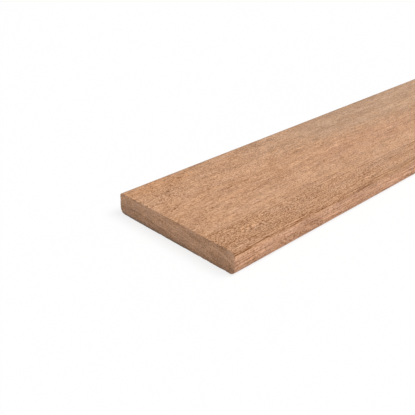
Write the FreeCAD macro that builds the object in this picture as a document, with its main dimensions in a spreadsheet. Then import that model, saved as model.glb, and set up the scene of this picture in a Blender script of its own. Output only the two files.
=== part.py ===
import FreeCAD, Part
import math
import os
import Sketcher

# Hardwood decking board, planed on four sides with its four long edges eased, and sawn
# square at both ends. It lies flat on its underside: X runs along the grain, Y across
# the board and Z up, and the origin is the middle of the underside.

doc = FreeCAD.newDocument("decking_board")

# Driving sizes in millimetres, each with what it measures on the board
driving_sizes = [
    ("board_length", 2450, "length it is sold in, from one sawn end to the other"),
    ("board_width", 145, "finished width between the two long sides"),
    ("board_thickness", 21, "finished thickness from underside to walking face"),
    ("face_edge_radius", 4, "round on the two long edges of the walking face"),
    ("back_edge_radius", 5, "round on the two long edges of the underside"),
]
sheet = doc.addObject("Spreadsheet::Sheet", "sizes")
for row, (size_name, millimetres, meaning) in enumerate(driving_sizes, start=1):
    sheet.set(f"A{row}", size_name)
    sheet.set(f"B{row}", str(millimetres))
    sheet.set(f"C{row}", meaning)
    sheet.setAlias(f"B{row}", size_name)
doc.recompute()


def origin_plane(body, role):
    """Give the plane of this role among the body's own origin planes."""
    for feature in body.Origin.OriginFeatures:
        if feature.Role == role:
            return feature
    raise ValueError(f"{body.Label} has no {role}")


def draw_moulded_section(sketch):
    """Draw the section that the moulder leaves: four flats joined by four rounds.

    The sketch's X runs across the board and its Y up from the underside.
    """
    side = sheet.board_width / 2
    top = sheet.board_thickness
    face_round = sheet.face_edge_radius
    back_round = sheet.back_edge_radius
    quarter_turn = math.pi / 2
    upright = FreeCAD.Vector(0, 0, 1)

    def draw_flat(from_across, from_up, to_across, to_up):
        start = FreeCAD.Vector(from_across, from_up, 0)
        end = FreeCAD.Vector(to_across, to_up, 0)
        return sketch.addGeometry(Part.LineSegment(start, end), False)

    def draw_round(centre_across, centre_up, radius, first_quarter):
        centre = FreeCAD.Vector(centre_across, centre_up, 0)
        circle = Part.Circle(centre, upright, radius)
        start_angle = first_quarter * quarter_turn
        arc = Part.ArcOfCircle(circle, start_angle, start_angle + quarter_turn)
        return sketch.addGeometry(arc, False)

    # The outline goes anticlockwise from the underside
    underside = draw_flat(back_round - side, 0, side - back_round, 0)
    right_back_edge = draw_round(side - back_round, back_round, back_round, 3)
    right_side = draw_flat(side, back_round, side, top - face_round)
    right_face_edge = draw_round(side - face_round, top - face_round, face_round, 0)
    walking_face = draw_flat(side - face_round, top, face_round - side, top)
    left_face_edge = draw_round(face_round - side, top - face_round, face_round, 1)
    left_side = draw_flat(-side, top - face_round, -side, back_round)
    left_back_edge = draw_round(back_round - side, back_round, back_round, 2)

    outline = [
        underside,
        right_back_edge,
        right_side,
        right_face_edge,
        walking_face,
        left_face_edge,
        left_side,
        left_back_edge,
    ]

    # Each piece of the outline runs smoothly into the next
    start_point, end_point = 1, 2
    for piece, next_piece in zip(outline, outline[1:] + outline[:1]):
        sketch.addConstraint(
            Sketcher.Constraint("Tangent", piece, end_point, next_piece, start_point)
        )

    # The flats are level or upright, and the underside is centred on the sketch's origin
    origin_point = (-1, start_point)
    sketch.addConstraint(Sketcher.Constraint("Horizontal", underside))
    sketch.addConstraint(Sketcher.Constraint("Horizontal", walking_face))
    sketch.addConstraint(Sketcher.Constraint("Vertical", right_side))
    sketch.addConstraint(Sketcher.Constraint("Vertical", left_side))
    sketch.addConstraint(
        Sketcher.Constraint(
            "Symmetric", underside, start_point, underside, end_point, *origin_point
        )
    )
    sketch.addConstraint(Sketcher.Constraint("Equal", right_face_edge, left_face_edge))
    sketch.addConstraint(Sketcher.Constraint("Equal", right_back_edge, left_back_edge))

    # The four sizes of the section come from the sheet
    width = Sketcher.Constraint(
        "DistanceX", left_side, start_point, right_side, end_point, sheet.board_width
    )
    thickness = Sketcher.Constraint(
        "DistanceY", underside, end_point, walking_face, start_point, sheet.board_thickness
    )
    face_radius = Sketcher.Constraint("Radius", right_face_edge, sheet.face_edge_radius)
    back_radius = Sketcher.Constraint("Radius", right_back_edge, sheet.back_edge_radius)
    for constraint, size_name in (
        (width, "board_width"),
        (thickness, "board_thickness"),
        (face_radius, "face_edge_radius"),
        (back_radius, "back_edge_radius"),
    ):
        number = sketch.addConstraint(constraint)
        sketch.renameConstraint(number, size_name)
        sketch.setExpression(f"Constraints.{size_name}", f"sizes.{size_name}")


# The board is one piece of stock, so it is one body: its section run along its length
board = doc.addObject("PartDesign::Body", "Board")
board.Label = "decking_board"
board.Placement = FreeCAD.Placement(FreeCAD.Vector(0, 0, 0), FreeCAD.Rotation())

section = board.newObject("Sketcher::SketchObject", "MouldedSection")
section.AttachmentSupport = [(origin_plane(board, "YZ_Plane"), "")]
section.MapMode = "FlatFace"
draw_moulded_section(section)
doc.recompute()

run = board.newObject("PartDesign::Pad", "BoardRun")
run.Profile = section
run.SideType = "Symmetric"
run.setExpression("Length", "sizes.board_length")
board.Tip = run
doc.recompute()

# Nothing is written unless every feature built and the solid is sound
for feature in doc.Objects:
    if "Invalid" in feature.State or "Error" in feature.State:
        raise RuntimeError(f"{feature.Label} did not build: {feature.State}")
if not section.FullyConstrained:
    raise RuntimeError(f"{section.Label} can still be dragged out of shape")
if board.Shape.isNull() or not board.Shape.isValid():
    raise RuntimeError(f"{board.Label} has no sound solid")

os.makedirs("parts", exist_ok=True)
board.Shape.exportStep(f"parts/{board.Label}.step")
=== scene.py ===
import math

import bmesh
import bpy
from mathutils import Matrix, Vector, noise


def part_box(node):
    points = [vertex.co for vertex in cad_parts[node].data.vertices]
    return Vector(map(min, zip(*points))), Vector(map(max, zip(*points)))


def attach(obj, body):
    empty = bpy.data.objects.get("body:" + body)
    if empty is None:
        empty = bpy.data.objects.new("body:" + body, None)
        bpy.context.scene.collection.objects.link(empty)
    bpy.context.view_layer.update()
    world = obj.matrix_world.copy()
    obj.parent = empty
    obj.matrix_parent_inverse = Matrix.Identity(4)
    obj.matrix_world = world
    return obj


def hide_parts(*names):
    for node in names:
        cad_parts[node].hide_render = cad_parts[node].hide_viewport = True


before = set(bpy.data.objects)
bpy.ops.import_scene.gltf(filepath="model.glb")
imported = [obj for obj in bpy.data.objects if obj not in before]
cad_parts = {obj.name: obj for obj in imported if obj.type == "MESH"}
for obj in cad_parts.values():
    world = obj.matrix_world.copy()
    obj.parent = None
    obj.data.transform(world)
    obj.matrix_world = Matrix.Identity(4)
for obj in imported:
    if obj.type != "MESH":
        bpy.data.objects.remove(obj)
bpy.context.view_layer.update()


# The decking board
# One length of reddish tropical hardwood, planed on four sides by a moulder that also
# rounds its four long edges, then sawn square at both ends. It is bare, with no oil.
board_low, board_high = (Vector(corner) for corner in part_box("decking_board"))
board_size = board_high - board_low
board_middle = (board_low + board_high) / 2
half_length = board_size.x / 2
face_round = 0.004
back_round = 0.005
round_steps = 8
arris_break = 0.0004
hair = 1e-7

# Mesh of the board: a block with its long edges rounded
board_form = bmesh.new()
bmesh.ops.create_cube(board_form, size=1.0)
bmesh.ops.scale(board_form, verts=board_form.verts, vec=board_size)
bmesh.ops.translate(board_form, verts=board_form.verts, vec=board_middle)


def round_over(height, radius):
    """Round the block's two long edges at this height to this radius."""
    edges = []
    for edge in board_form.edges:
        first, second = (vert.co for vert in edge.verts)
        at_height = abs(first.z - height) < hair and abs(second.z - height) < hair
        if at_height and abs(first.x - second.x) > half_length:
            edges.append(edge)
    bmesh.ops.bevel(
        board_form, geom=edges, affect="EDGES", offset=radius, offset_type="OFFSET",
        segments=round_steps, profile=0.5, material=-1,
    )


round_over(board_high.z, face_round)
round_over(board_low.z, back_round)

# The arris of each sawn end is broken by two facets, which stand for a small round, and
# three flat rings lie inside them
end_facing = 0.7
facet_shares = (0.29, 0.71)
ring_widths = (0.0006, 0.0010, 0.0012)
facets = [(share * arris_break, (1 - share) * arris_break) for share in facet_shares]
rings = [(width, 0.0) for width in ring_widths]
for end in [face for face in board_form.faces if abs(face.normal.x) > end_facing]:
    bmesh.ops.translate(board_form, verts=end.verts, vec=-arris_break * end.normal)
    for inwards, outwards in facets + rings:
        bmesh.ops.inset_region(
            board_form, faces=[end], thickness=inwards, depth=outwards,
            use_even_offset=True, use_boundary=True,
        )


def cut_across(axis, place):
    """Cut the whole form by the plane at this place on this axis."""
    point = Vector((0, 0, 0))
    point[axis] = place
    normal = Vector((0, 0, 0))
    normal[axis] = 1
    bmesh.ops.bisect_plane(
        board_form, geom=board_form.verts[:] + board_form.edges[:] + board_form.faces[:],
        plane_co=point, plane_no=normal, dist=hair,
    )


def evenly(first, last, count):
    """This many places, evenly spaced, from first to last."""
    return [first + (last - first) * step / (count - 1) for step in range(count)]


# Cuts across the width, up the height and along the length, closer together by the ends
cuts_across, cuts_up, cuts_along = 61, 9, 81
close_cuts = (0.001, 0.004, 0.010, 0.020, 0.035, 0.055)
even_cuts_from = 0.080
hold = 0.0005
flat_half_width = board_size.y / 2 - back_round - hold
side_low = board_low.z + back_round + hold
side_high = board_high.z - face_round - hold
even_half_length = half_length - even_cuts_from
for place in evenly(-flat_half_width, flat_half_width, cuts_across):
    cut_across(1, place)
for place in evenly(side_low, side_high, cuts_up):
    cut_across(2, place)
for place in close_cuts:
    for direction in (-1, 1):
        cut_across(0, direction * (half_length - place))
for place in evenly(-even_half_length, even_half_length, cuts_along):
    cut_across(0, place)
bmesh.ops.recalc_face_normals(board_form, faces=board_form.faces)

# Where each face lies on the board's map: each half of the length has four strips, one for
# each way that its faces look, and the two ends lie side by side along the top
map_edge = 0.004
strip_heights = {"face": 0.250, "right side": 0.044, "left side": 0.044, "underside": 0.096}
strip_lows = {}
next_low = map_edge
for half in ("near", "far"):
    for side, height in strip_heights.items():
        strip_lows[half, side] = next_low
        next_low += height + map_edge
end_low = next_low
end_height = 1.0 - map_edge - end_low
end_width = 0.5 - 1.5 * map_edge
planed, sawn = 0, 1
board_map = board_form.loops.layers.uv.new("OFBake")


def place_on_map(face):
    """Lay a face on the board's map and give it its finish."""
    middle = face.calc_center_median()
    face.smooth = True
    if abs(face.normal.x) > end_facing:
        face.material_index = sawn
        left = map_edge if middle.x < 0 else 0.5 + map_edge / 2
        for loop in face.loops:
            across, up = loop.vert.co.y - board_low.y, loop.vert.co.z - board_low.z
            loop[board_map].uv = (
                left + end_width * across / board_size.y,
                end_low + end_height * up / board_size.z,
            )
        return
    face.material_index = planed
    half = "near" if middle.x < 0 else "far"
    start = -half_length if half == "near" else 0.0
    if abs(face.normal.z) >= abs(face.normal.y):
        side = "face" if face.normal.z > 0 else "underside"
        axis = 1
    else:
        side = "right side" if face.normal.y < 0 else "left side"
        axis = 2
    for loop in face.loops:
        share_along = (loop.vert.co.x - start) / half_length
        share_across = (loop.vert.co[axis] - board_low[axis]) / board_size[axis]
        loop[board_map].uv = (
            map_edge + (1 - 2 * map_edge) * share_along,
            strip_lows[half, side] + strip_heights[side] * share_across,
        )


for face in board_form.faces:
    place_on_map(face)

# The saw's work on the ends: shallow arcs left by the blade, and an arris that crumbled a
# little along its length. All of it goes into the wood, never out of it.
end_band = 0.0011
fine_cuts = 3


def near_end(edge):
    """Whether both points of an edge lie in the band by a sawn end."""
    return all(half_length - abs(vert.co.x) < end_band for vert in edge.verts)


def many_sided():
    """The faces that have more than four sides."""
    return [face for face in board_form.faces if len(face.verts) > 4]


bmesh.ops.triangulate(board_form, faces=many_sided())
fine_edges = [edge for edge in board_form.edges if near_end(edge)]
bmesh.ops.subdivide_edges(board_form, edges=fine_edges, cuts=fine_cuts, use_grid_fill=True)
bmesh.ops.poke(board_form, faces=many_sided())
blade_middle = Vector((0.02, -0.115))
blade_pitch = 0.0024
blade_depth = 0.00006
tear_share = 0.6
crumble_depth = 0.00030
crumble_reach = 0.0013
crumble_usual = 0.1


def arris_by(vert):
    """How far a point is from the arris of its end, and which way leads there into the wood."""
    from_middle = vert.co - board_middle
    rounding = face_round if from_middle.z > 0 else back_round
    past_y = abs(from_middle.y) - (board_size.y / 2 - rounding)
    past_z = abs(from_middle.z) - (board_size.z / 2 - rounding)
    inwards = Vector((0.0, max(past_y, 0.0), max(past_z, 0.0)))
    out = inwards.length + min(max(past_y, past_z), 0.0)
    inwards.normalize()
    inwards.x = 1.0
    inwards = Vector(-math.copysign(*pair) for pair in zip(inwards, from_middle)).normalized()
    return math.hypot(half_length - abs(vert.co.x), rounding - out), inwards


def unevenness(vert, fineness, shift):
    """Soft noise this fine over an end's face, with a shift that sets the two ends apart."""
    return noise.noise(Vector((vert.co.y * fineness, vert.co.z * fineness, vert.co.x * shift)))


def saw_marks(vert, share):
    """Move a point by the end inwards by its share of what the blade took there."""
    from_blade = Vector((vert.co.y, vert.co.z)) - blade_middle
    turns = from_blade.length / blade_pitch + unevenness(vert, 40, 1)
    tear = abs(unevenness(vert, 900, 3))
    depth = blade_depth * (1 + math.sin(2 * math.pi * turns) + tear_share * tear)
    vert.co.x -= math.copysign(depth * share, vert.co.x)


def crumble(vert, inwards, share):
    """Sink a point by the arris this way, by its share of what broke away there."""
    amount = crumble_usual + unevenness(vert, 160, 2) + 0.5 * unevenness(vert, 700, 5)
    vert.co += inwards * crumble_depth * max(0.0, amount) * share


for vert in board_form.verts:
    from_end = half_length - abs(vert.co.x)
    if from_end < end_band:
        away, inwards = arris_by(vert)
        saw_marks(vert, 1 - from_end / end_band)
        if away < crumble_reach:
            crumble(vert, inwards, 1 - (away / crumble_reach) ** 2)

board_mesh = bpy.data.meshes.new("board")
board = bpy.data.objects.new("board", board_mesh)
bpy.context.collection.objects.link(board)
board_form.to_mesh(board_mesh)
board_form.free()
sharp_from = math.radians(50)
board_mesh.set_sharp_from_angle(angle=sharp_from)


class Finish:
    """One material of the board, whose nodes are added as its recipe goes along."""

    def __init__(self, name):
        self.material = bpy.data.materials.new(name)
        self.material.use_nodes = True
        self.tree = self.material.node_tree
        self.shader = self.tree.nodes["Principled BSDF"]

    def put(self, value, socket):
        """Set a socket to a value, or join it to another node's output."""
        if isinstance(value, bpy.types.NodeSocket):
            self.tree.links.new(value, socket)
        elif socket.type == "RGBA":
            socket.default_value = (*value, 1.0)
        else:
            socket.default_value = value

    def node(self, kind, inputs, **settings):
        """Add a node with these settings, and fill its first inputs in order."""
        node = self.tree.nodes.new(kind)
        for setting, value in settings.items():
            setattr(node, setting, value)
        for value, socket in zip(inputs, node.inputs):
            self.put(value, socket)
        return node

    def calc(self, operation, *values):
        """Work out one number from others."""
        return self.node("ShaderNodeMath", values, operation=operation).outputs[0]

    def move(self, operation, *values):
        """Work out one place from others, or with LENGTH its distance."""
        node = self.node("ShaderNodeVectorMath", values, operation=operation)
        return node.outputs[1] if operation == "LENGTH" else node.outputs[0]

    def ease(self, value, low, high, to_low=0.0, to_high=1.0):
        """Carry a value smoothly from one range to another."""
        ranges = (value, low, high, to_low, to_high)
        kind = "ShaderNodeMapRange"
        return self.node(kind, ranges, interpolation_type="SMOOTHSTEP").outputs[0]

    def blend(self, share, first, second, way="MIX"):
        """Mix two colours by a share of the second, or lay the second on the first."""
        node = self.tree.nodes.new("ShaderNodeMix")
        node.data_type = "RGBA"
        node.blend_type = way
        share_socket, first_socket, second_socket, colour_socket = 0, 6, 7, 2
        self.put(share, node.inputs[share_socket])
        self.put(first, node.inputs[first_socket])
        self.put(second, node.inputs[second_socket])
        return node.outputs[colour_socket]

    def noise_at(self, spot, patch, detail=1.0, shift=(0.0, 0.0, 0.0)):
        """Soft noise in patches of this length, width and height. Each pattern has its own
        shift, so that no two fall together."""
        scaled = self.move("MULTIPLY_ADD", spot, [1 / size for size in patch], shift)
        node = self.node("ShaderNodeTexNoise", (scaled,))
        node.inputs["Scale"].default_value = 1.0
        node.inputs["Detail"].default_value = detail
        return node

    def grain(self, spot, along, across, detail=1.0, shift=(0.0, 0.0, 0.0)):
        """How light soft noise is, in patches this long with the grain and wide across it."""
        return self.noise_at(spot, (along, across, across), detail, shift).outputs["Fac"]

    def dashes(self, spot, along, across, core, rim):
        """Short thin dashes along the grain, one to each cell of this length and width."""
        cells = self.move("MULTIPLY", spot, (1 / along, 1 / across, 1 / across))
        node = self.node("ShaderNodeTexVoronoi", (cells,))
        node.inputs["Scale"].default_value = 1.0
        return self.ease(node.outputs["Distance"], core, rim, 1.0, 0.0)

    def bend(self, spot, along, across, reach, shift=(0.0, 0.0, 0.0), share=(1.0, 1.0, 1.0)):
        """Push a spot sideways by up to half of this reach, in waves of this size."""
        push = self.noise_at(spot, (along, across, across), 1.0, shift).outputs["Color"]
        push = self.move("SUBTRACT", push, (0.5, 0.5, 0.5))
        push = self.move("MULTIPLY", push, share)
        return self.move("MULTIPLY_ADD", push, (0.0, reach, reach), spot)

    def between(self, value, low, high, edge):
        """How far a value is between two others, with a soft edge on both sides."""
        rise = self.ease(value, low - edge, low + edge)
        fall = self.ease(value, high - edge, high + edge, 1.0, 0.0)
        return self.calc("MULTIPLY", rise, fall)

    def cloud_round(self, spot, middle, reach):
        """How far a spot is inside a soft cloud round this middle."""
        full_within, gone_beyond = 0.4, 1.2
        away = self.move("SUBTRACT", spot, middle)
        away = self.move("MULTIPLY", away, [1 / size for size in reach])
        return self.ease(self.move("LENGTH", away), full_within, gone_beyond, 1.0, 0.0)


def growth_layers(finish, spot, end_grain):
    """Where a spot lies in the growth layers, and how far it is from the pith."""
    # The pith was under the board's right side, and drifts away from it along the board
    pith = (0.0, -0.075, -0.220)
    pith_drift = 0.035
    face_radius = 0.24
    calc = finish.calc
    swayed = finish.bend(spot, 0.30, 0.20, 0.0008, (0.8, 5.2, 2.6))
    from_pith = finish.move("SUBTRACT", swayed, pith)
    along, across, up = finish.node("ShaderNodeSeparateXYZ", (from_pith,)).outputs
    drift = calc("MULTIPLY", calc("ADD", along, half_length), pith_drift)
    across = calc("ADD", across, drift)
    radius = calc("SQRT", calc("ADD", calc("MULTIPLY", across, across), calc("MULTIPLY", up, up)))
    if end_grain:
        # Where the saw cut them, the layers look nearly level, and rise a little to the left
        first_slope, slope_change = -0.335, 1.20
        slope = calc("MULTIPLY_ADD", across, slope_change, first_slope)
        in_layers = (along, across, calc("MULTIPLY_ADD", across, slope, up))
    else:
        arc = calc("MULTIPLY", calc("ARCTAN2", across, up), face_radius)
        in_layers = (along, arc, radius)
    return finish.node("ShaderNodeCombineXYZ", in_layers).outputs[0], radius


def growth_bands(finish, spot, radius):
    """How far a spot is inside each band of growth, from one distance to another round the
    pith. Some bands come and go along the board."""
    calc, ease, grain = finish.calc, finish.ease, finish.grain
    calm = finish.cloud_round(spot, (-0.90, -0.050, 0.021), (0.14, 0.060, 0.050))

    # Open, coarse wood along the right edge of the face, and half as coarse on the side
    coarse = finish.between(radius, 0.2384, 0.2437, 0.0002)
    coarse = calc("MULTIPLY", coarse, calc("MULTIPLY_ADD", calm, -0.7, 1.0))
    side_coarse = calc("MULTIPLY", finish.between(radius, 0.2150, 0.2384, 0.0006), 0.5)
    lined = finish.between(radius, 0.2378, 0.2412, 0.0006)

    # The coarse wood's dark rim, the gum along the arris and one thin line mid-face
    rim = finish.between(radius, 0.24360, 0.24375, 0.00008)
    rim_shows = ease(grain(spot, 0.070, 0.0200, 1.0, (7.3, 0.6, 3.2)), 0.26, 0.50)
    gum = finish.between(radius, 0.2384, 0.2410, 0.0002)
    gum_shows = ease(grain(spot, 0.080, 0.0006, 2.0, (4.4, 1.2, 9.7)), 0.475, 0.555)
    line = finish.between(radius, 0.2544, 0.2549, 0.0002)
    line_shows = ease(grain(spot, 0.050, 0.0200, 1.0, (2.4, 8.2, 0.7)), 0.40, 0.60)
    return {
        "calm": calm,
        "coarse": coarse,
        "open": calc("MAXIMUM", coarse, side_coarse),
        "lined": calc("MAXIMUM", lined, side_coarse),
        "rim": calc("MULTIPLY", rim, rim_shows),
        "gum": calc("MULTIPLY", gum, gum_shows),
        "line": calc("MULTIPLY", line, line_shows),
        "pale": finish.between(radius, 0.2440, 0.2478, 0.0008),
        "side pale": finish.between(radius, 0.2325, 0.2376, 0.0012),
        "side dim": finish.between(radius, 0.2210, 0.2270, 0.0014),
    }


def along_fibres(finish, spot, radius):
    """A spot's place as the fibres see it, so that a pattern follows them."""
    # They wander slowly, weave in waves a few centimetres long and curl in shorter ones,
    # but by the right side they run nearly straight
    curl = finish.ease(radius, 0.2440, 0.2480, 0.2, 1.0)
    fibre = finish.bend(spot, 0.45, 0.12, 0.012)
    fibre = finish.bend(fibre, 0.055, 0.018, 0.008, (3.1, 7.7, 1.9), curl)
    return finish.bend(fibre, 0.012, 0.007, 0.003, (6.1, 2.7, 4.9), curl)


def fibre_figure(finish, fibre):
    """The wood's patterns along its fibres, from the broad ribbon to the pores."""
    grain = finish.grain
    return {
        "ribbon": grain(fibre, 0.250, 0.0120, 2.0, (9.3, 2.2, 5.4)),
        "cloud": grain(fibre, 0.050, 0.0140, 1.0, (1.7, 4.2, 3.4)),
        "tint": grain(fibre, 0.022, 0.0080, 1.0, (3.9, 5.5, 0.8)),
        "mottle": grain(fibre, 0.010, 0.0042, 1.0, (2.2, 6.1, 8.8)),
        "streak": grain(fibre, 0.030, 0.0010, 2.0, (5.1, 0.7, 2.3)),
        "vein": grain(fibre, 0.060, 0.0009, 1.0, (0.9, 3.8, 7.1)),
        "fleck": grain(fibre, 0.0018, 0.0008, 1.0, (8.8, 1.7, 6.3)),
        "pore": finish.dashes(fibre, 0.0042, 0.0010, 0.16, 0.36),
        "vessel": finish.dashes(fibre, 0.0100, 0.0006, 0.12, 0.24),
    }


def lightness(finish, spot, in_layers, bands, figure, end_grain):
    """How light the wood is at a spot, from the dark of its pores to the palest fibre."""
    calc = finish.calc
    middling = 0.51

    # A sawn end shows its layers more, and its fibres, which it cuts across, less
    ring_patch = (0.30, 0.032, 0.0013) if end_grain else (0.30, 0.018, 0.0011)
    ring_share = 0.68 if end_grain else 0.28
    layer_share = 0.36 if end_grain else 0.26
    fine_share = 0.84 if end_grain else 1.0
    open_share = 0.25 if end_grain else 0.82
    vein_share = 0.2 if end_grain else 1.0
    mottle_share = 0.18 if end_grain else 0.23
    vessel_share = 0.18 if end_grain else 0.30
    layers = finish.noise_at(in_layers, (1.5, 0.6, 0.0055), 2.0).outputs["Fac"]
    rings = finish.noise_at(in_layers, ring_patch, 2.0, (1.3, 6.6, 3.9)).outputs["Fac"]

    # The figure is livelier on the left near the end, and curls tightly in one small place
    lively = finish.cloud_round(spot, (-1.12, 0.048, 0.021), (0.15, 0.040, 0.050))
    curly = finish.cloud_round(spot, (-1.195, 0.041, 0.021), (0.024, 0.016, 0.012))
    fleck_depth = calc("MULTIPLY_ADD", bands["open"], open_share, 1.16 * fine_share)
    fleck_depth = calc("MULTIPLY_ADD", lively, 0.40, fleck_depth)
    fleck_depth = calc("MULTIPLY_ADD", curly, 0.90, fleck_depth)
    pore_depth = calc("MULTIPLY_ADD", bands["open"], 0.25 * open_share, 0.28 * fine_share)
    lined = bands["lined"]
    light = middling
    for part, amount in (
        (layers, layer_share),
        (rings, ring_share),
        (figure["ribbon"], 0.22),
        (figure["cloud"], 0.20),
        (figure["mottle"], calc("MULTIPLY_ADD", lively, 0.16, mottle_share)),
        (figure["streak"], calc("MULTIPLY_ADD", lined, 0.80 * vein_share, 0.86 * fine_share)),
        (figure["vein"], calc("MULTIPLY", lined, 0.90 * vein_share)),
        (figure["fleck"], calc("MULTIPLY_ADD", lined, -1.10 * vein_share, fleck_depth)),
    ):
        light = calc("ADD", light, calc("MULTIPLY", calc("SUBTRACT", part, 0.5), amount))
    for part, amount in (
        (figure["pore"], pore_depth),
        (figure["vessel"], vessel_share),
        (bands["coarse"], 0.05 * vein_share),
        (bands["rim"], 0.21 * vein_share),
        (bands["gum"], 0.10 * vein_share),
        (bands["line"], 0.12 * vein_share),
        (bands["pale"], -0.04),
        (bands["calm"], -0.015),
        (curly, 0.04),
        (bands["side pale"], -0.055),
        (bands["side dim"], 0.04),
    ):
        light = calc("SUBTRACT", light, calc("MULTIPLY", part, amount))
    return light


def tinted(finish, colour, fibre, figure):
    """Lay warmer and greyer patches on a colour, and the wide clouds that this board has."""
    warm = (1.012, 0.995, 0.96)
    cool = (0.988, 1.005, 1.04)
    tint = finish.blend(finish.ease(figure["tint"], 0.3, 0.7), warm, cool)
    colour = finish.blend(1.0, colour, tint, "MULTIPLY")
    clouds = {
        "grey left half": ((-0.84, 0.045, 0.021), (0.24, 0.045, 0.045), (0.93, 1.01, 1.09)),
        "rosy middle": ((-0.96, -0.010, 0.021), (0.10, 0.020, 0.020), (1.02, 1.00, 1.03)),
        "warm left corner": ((-1.19, 0.063, 0.021), (0.045, 0.014, 0.014), (1.03, 0.97, 0.88)),
        "dim left edge": ((-0.85, 0.070, 0.021), (0.52, 0.037, 0.050), (0.93, 0.935, 0.94)),
        "pale middle": ((-1.10, 0.008, 0.021), (0.25, 0.022, 0.050), (1.05, 1.045, 1.04)),
        "pale by the end": ((-1.195, -0.043, 0.021), (0.045, 0.010, 0.010), (1.07, 1.07, 1.05)),
        "dim coarse wood": ((-0.97, -0.045, 0.021), (0.070, 0.016, 0.016), (0.95, 0.95, 0.96)),
        "pale right edge": ((-1.16, -0.071, 0.019), (0.110, 0.006, 0.006), (1.10, 1.11, 1.14)),
        "dim right edge": ((-0.93, -0.071, 0.019), (0.130, 0.007, 0.007), (0.88, 0.89, 0.87)),
    }
    for middle, reach, shade in clouds.values():
        inside = finish.cloud_round(fibre, middle, reach)
        colour = finish.blend(inside, colour, shade, "MULTIPLY")
    return colour


def paler_end_painted_foot_shade(finish, colour, fibre):
    """Make a sawn end's colour paler, partly as dry end grain is and partly as painted light, and
    darken a few millimetres of its foot with painted shade.
    """
    # Painted light: the whole end is made paler, partly as dry end grain is, partly to lift it out
    # of the lamp's shade
    colour = finish.blend(1.0, colour, (1.05, 1.06, 1.11), "MULTIPLY")
    height = finish.node("ShaderNodeSeparateXYZ", (fibre,)).outputs[2]
    # Painted shade: two darker bands at the foot of the end stand for the shade where it meets the
    # floor
    for reach, shade in ((0.0060, (0.80, 0.84, 0.90)), (0.0018, (0.70, 0.74, 0.78))):
        colour = finish.blend(finish.ease(height, 0.0, reach, 1.0, 0.0), colour, shade, "MULTIPLY")
    return colour


def rosy_side_dark_rounds(finish, colour, spot, radius):
    """Make the right side rosy, and the rounds beside the walking face darker."""
    rosy = finish.ease(radius, 0.2340, 0.2410, 1.0, 0.0)
    colour = finish.blend(rosy, colour, (1.03, 0.995, 1.04), "MULTIPLY")

    # The right round is made darker and browner, and the left one gets painted shade and a painted
    # grey reflection, as it turns away from the lamp
    inset = 0.0012
    reach = (9.0, 0.0040, 0.0040)  # in effect all along the board
    for side, shade in ((-1, (0.86, 0.82, 0.76)), (1, (0.80, 0.83, 0.87))):
        middle = (0.0, side * (board_size.y / 2 - inset), board_high.z - inset)
        dark_round = finish.cloud_round(spot, middle, reach)
        colour = finish.blend(dark_round, colour, shade, "MULTIPLY")
    return colour


def hardwood(name, end_grain):
    """Bare hardwood as a planed face shows it, or as a sawn end does."""
    finish = Finish(name)
    calc = finish.calc
    spot = finish.tree.nodes.new("ShaderNodeTexCoord").outputs["Object"]
    in_layers, radius = growth_layers(finish, spot, end_grain)
    bands = growth_bands(finish, spot, radius)
    fibre = along_fibres(finish, spot, radius)
    figure = fibre_figure(finish, fibre)

    dark_wood = (0.178, 0.057, 0.003)
    pale_wood = (0.862, 0.508, 0.304)
    light = lightness(finish, spot, in_layers, bands, figure, end_grain)
    colour = tinted(finish, finish.blend(light, dark_wood, pale_wood), fibre, figure)
    if end_grain:
        colour = paler_end_painted_foot_shade(finish, colour, fibre)
    else:
        colour = rosy_side_dark_rounds(finish, colour, spot, radius)
    finish.put(colour, finish.shader.inputs["Base Color"])

    # Bare wood is matt. Its pores are rougher than the fibres and lie a little lower
    fibre_roughness = 0.58
    pore_roughness = 0.2
    fibre_relief = 0.5
    hollow = calc("MAXIMUM", figure["pore"], figure["vessel"])
    rough = calc("MULTIPLY_ADD", hollow, pore_roughness, fibre_roughness)
    height = calc("SUBTRACT", calc("MULTIPLY", figure["streak"], fibre_relief), hollow)
    bump = finish.tree.nodes.new("ShaderNodeBump")
    bump.inputs["Strength"].default_value = 0.6
    bump.inputs["Distance"].default_value = 0.00015
    finish.put(height, bump.inputs["Height"])
    finish.put(bump.outputs[0], finish.shader.inputs["Normal"])
    finish.put(rough, finish.shader.inputs["Roughness"])
    finish.shader.inputs["Specular IOR Level"].default_value = 0.35
    return finish.material


board_mesh.materials.append(hardwood("planed_hardwood", False))
board_mesh.materials.append(hardwood("sawn_hardwood", True))
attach(board, "root")
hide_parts("decking_board")


# The floor
# A plain pale studio floor, level with the board's underside. It takes the board's shadow
# and shows near white to the camera, which keeps that shadow light.
floor_half = 12.0
floor_clearance = 0.0002
floor_paint = (0.96, 0.96, 0.96)
floor_glow = 0.82
floor_form = bmesh.new()
bmesh.ops.create_grid(floor_form, x_segments=1, y_segments=1, size=floor_half)
floor_mesh = bpy.data.meshes.new("floor")
floor_form.to_mesh(floor_mesh)
floor_form.free()
floor = bpy.data.objects.new("floor", floor_mesh)
floor.location.z = board_low.z - floor_clearance
bpy.context.collection.objects.link(floor)


def seen_directly(tree, amount):
    """This amount where a ray comes from the camera, a shine or a clear piece, else 0."""
    rays = tree.nodes.new("ShaderNodeLightPath").outputs
    total = rays["Is Camera Ray"]
    for kind in ("Is Glossy Ray", "Is Transmission Ray"):
        add = tree.nodes.new("ShaderNodeMath")
        add.operation = "ADD"
        add.use_clamp = True
        tree.links.new(total, add.inputs[0])
        tree.links.new(rays[kind], add.inputs[1])
        total = add.outputs[0]
    share = tree.nodes.new("ShaderNodeMath")
    share.operation = "MULTIPLY"
    share.inputs[1].default_value = amount
    tree.links.new(total, share.inputs[0])
    return share.outputs[0]


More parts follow.
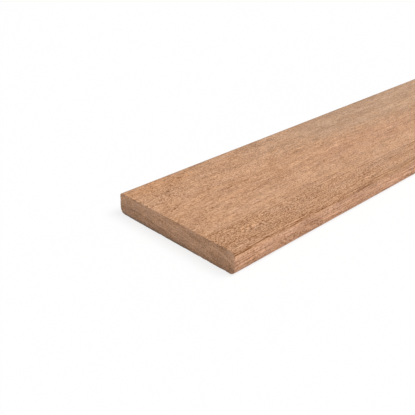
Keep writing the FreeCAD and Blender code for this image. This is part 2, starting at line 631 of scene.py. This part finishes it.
floor_material = bpy.data.materials.new("pale_floor")
floor_material.use_nodes = True
floor_tree = floor_material.node_tree
floor_tree.nodes.clear()
matt = floor_tree.nodes.new("ShaderNodeBsdfDiffuse")
matt.inputs["Color"].default_value = (*floor_paint, 1.0)
white = floor_tree.nodes.new("ShaderNodeEmission")
white.inputs["Color"].default_value = (1.0, 1.0, 1.0, 1.0)
white.inputs["Strength"].default_value = 1.0
together = floor_tree.nodes.new("ShaderNodeMixShader")
floor_tree.links.new(seen_directly(floor_tree, floor_glow), together.inputs["Fac"])
floor_tree.links.new(matt.outputs[0], together.inputs[1])
floor_tree.links.new(white.outputs[0], together.inputs[2])
floor_out = floor_tree.nodes.new("ShaderNodeOutputMaterial")
floor_tree.links.new(together.outputs[0], floor_out.inputs["Surface"])
floor_mesh.materials.append(floor_material)


# The light
# Even white studio light from all round, and one very soft lamp high on the right and a
# little behind, which leaves the sawn end in gentle shade.
sky_strength = 0.27
world = bpy.data.worlds.new("studio")
world.use_nodes = True
bpy.context.scene.world = world
sky = world.node_tree.nodes["Background"]
sky.inputs["Color"].default_value = (1.0, 1.0, 1.0, 1.0)
sky_level = world.node_tree.nodes.new("ShaderNodeMath")
sky_level.operation = "ADD"
sky_level.inputs[1].default_value = sky_strength
world.node_tree.links.new(
    seen_directly(world.node_tree, 1.0 - sky_strength), sky_level.inputs[0]
)
world.node_tree.links.new(sky_level.outputs[0], sky.inputs["Strength"])

key_direction = Vector((0.33, -0.37, 0.87))
key_strength = 2.72
key_spread = math.radians(36)
key_lamp = bpy.data.lights.new("key", "SUN")
key_lamp.energy = key_strength
key_lamp.angle = key_spread
key = bpy.data.objects.new("key", key_lamp)
key.rotation_euler = key_direction.to_track_quat("Z", "Y").to_euler()
bpy.context.collection.objects.link(key)


# The camera
# It stands in front of the near end and to its right, at about a seated person's reach,
# and looks down along the board. Its place and lens were fitted to the board's outline.
camera_turn = 0.76528
camera_dip = 0.48832
focal_pixels = 665.918
photo_pixels = 415
near_right_corner = board_low

# How far to its right, above it and ahead the camera sees that corner, in board widths
corner_seen_at = Vector((0.14439, -0.37134, 3.58377)) * board_size.y
forward = Vector((
    math.sin(camera_turn) * math.cos(camera_dip),
    math.cos(camera_turn) * math.cos(camera_dip),
    -math.sin(camera_dip),
))
right = Vector((math.cos(camera_turn), -math.sin(camera_turn), 0.0))
up = right.cross(forward)
camera_data = bpy.data.cameras.new("camera")
camera_data.sensor_width = 36.0
camera_data.lens = camera_data.sensor_width * focal_pixels / photo_pixels
camera_data.clip_start = 0.01
camera_data.clip_end = 100.0
camera = bpy.data.objects.new("camera", camera_data)
camera.location = near_right_corner - (
    right * corner_seen_at.x + up * corner_seen_at.y + forward * corner_seen_at.z
)
camera.rotation_euler = forward.to_track_quat("-Z", "Y").to_euler()
bpy.context.collection.objects.link(camera)
bpy.context.scene.camera = camera

bpy.context.scene.view_settings.view_transform = "Standard"
